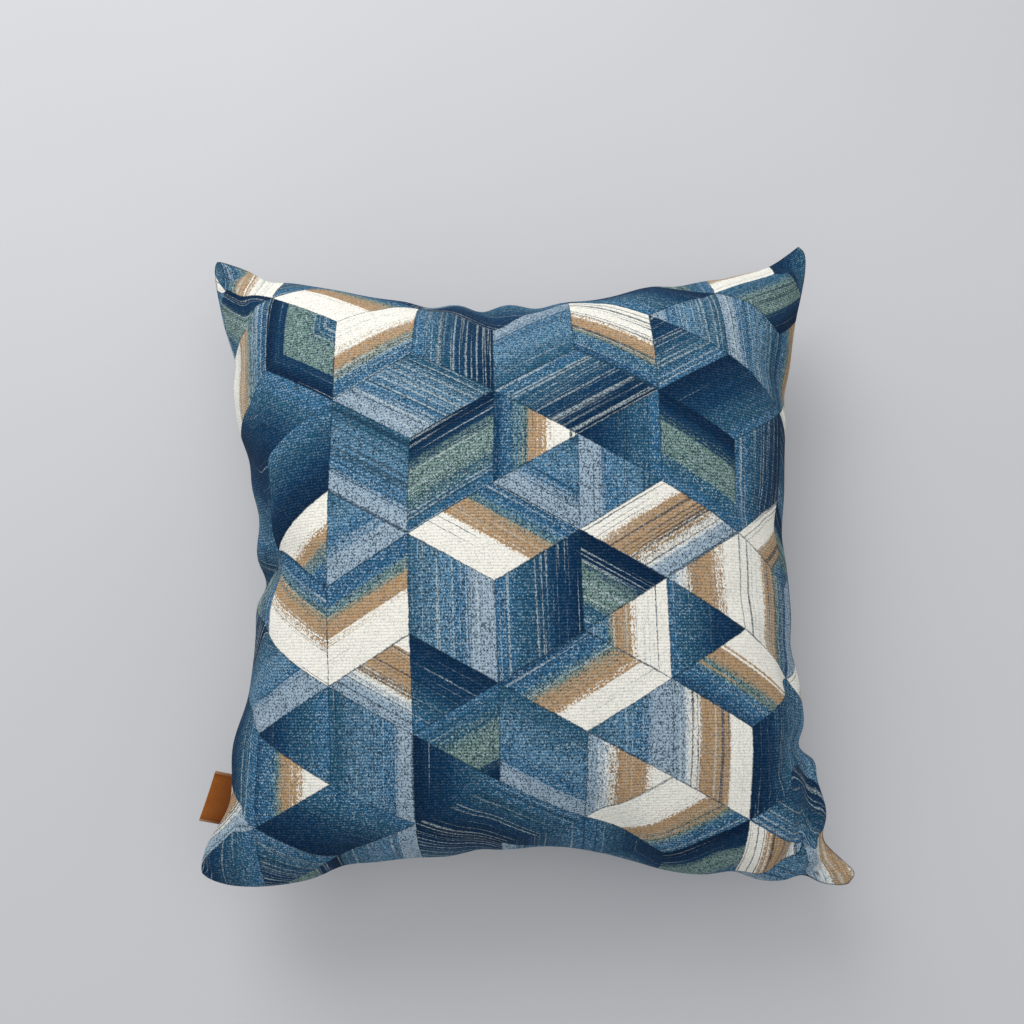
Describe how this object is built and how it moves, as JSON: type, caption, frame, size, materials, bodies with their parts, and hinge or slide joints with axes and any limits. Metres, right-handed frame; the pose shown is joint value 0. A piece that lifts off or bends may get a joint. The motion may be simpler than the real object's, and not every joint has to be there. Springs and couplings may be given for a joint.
{
  "type": "cushion cover",
  "caption": "Square filled cushion cover lying on its back, with a crowned face, knife-edge seam, drawn-in sides, soft pointed corners and a folded leather side label.",
  "frame": {"origin": "middle of the flat patch on the back that the cushion rests on", "axes": "+Z out of the printed face, +Y toward the cushion's top edge, -X toward the seam with the label"},
  "size_m": [0.3958, 0.4135, 0.1642],
  "materials": {
    "printed_cloth": "matt ribbed weave, printed",
    "label_leather": "smooth, slightly waxed"
  },
  "bodies": {
    "root": {"cover": "printed_cloth", "side_label": "label_leather"}
  },
  "joints": []
}
